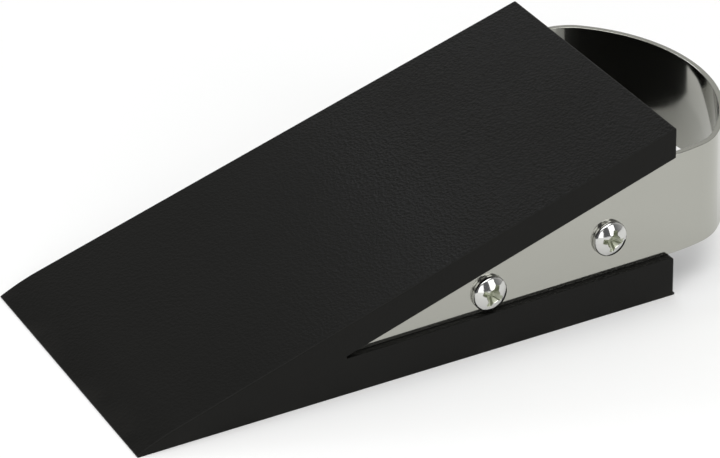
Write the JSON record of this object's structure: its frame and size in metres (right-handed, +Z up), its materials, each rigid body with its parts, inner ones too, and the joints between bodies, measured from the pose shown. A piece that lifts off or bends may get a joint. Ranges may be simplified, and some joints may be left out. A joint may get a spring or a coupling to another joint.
{
  "type": "floor door holder",
  "caption": "Rubber door wedge with a polished steel strap screwed into its side recesses; the strap bends round behind the wedge as a finger loop.",
  "frame": {"origin": "on the floor plane, midway between the thin tip and the end of the handle loop, in the symmetry plane", "axes": "+X from the thin tip towards the handle loop, +Z up from the floor, Y across the wedge"},
  "size_m": [0.1582, 0.0704, 0.0414],
  "materials": {
    "rubber": "satin, fine leather-like grain",
    "strap_steel": "polished stainless steel",
    "screw_plating": "bright nickel plating"
  },
  "bodies": {
    "root": {"wedge_body": "rubber", "handle_strap": "strap_steel", "screw_near_front": "screw_plating", "screw_near_rear": "screw_plating", "screw_far_front": "screw_plating", "screw_far_rear": "screw_plating"}
  },
  "joints": []
}
